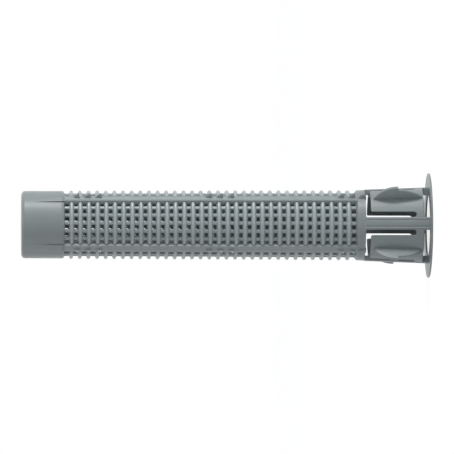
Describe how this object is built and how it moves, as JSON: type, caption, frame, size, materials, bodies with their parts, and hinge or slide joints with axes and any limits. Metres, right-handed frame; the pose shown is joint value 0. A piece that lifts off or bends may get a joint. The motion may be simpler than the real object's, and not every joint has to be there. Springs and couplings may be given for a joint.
{
  "type": "injection anchor sleeve",
  "caption": "Perforated plastic sleeve for resin anchors in hollow brick, with a closed tip, a ribbed mesh, barbed rails, sprung tongues and a mouth flange.",
  "frame": {"origin": "centre of the mouth flange's outer face, which is the face that the sleeve stands on", "axes": "+Z along the sleeve from the mouth to the closed tip, +X and +Y through the middles of two mesh panels"},
  "size_m": [0.0218, 0.0218, 0.085],
  "materials": {
    "grey_plastic": "satin moulded polypropylene, blue-grey"
  },
  "bodies": {
    "root": {"anchor_sleeve": "grey_plastic"}
  },
  "joints": []
}
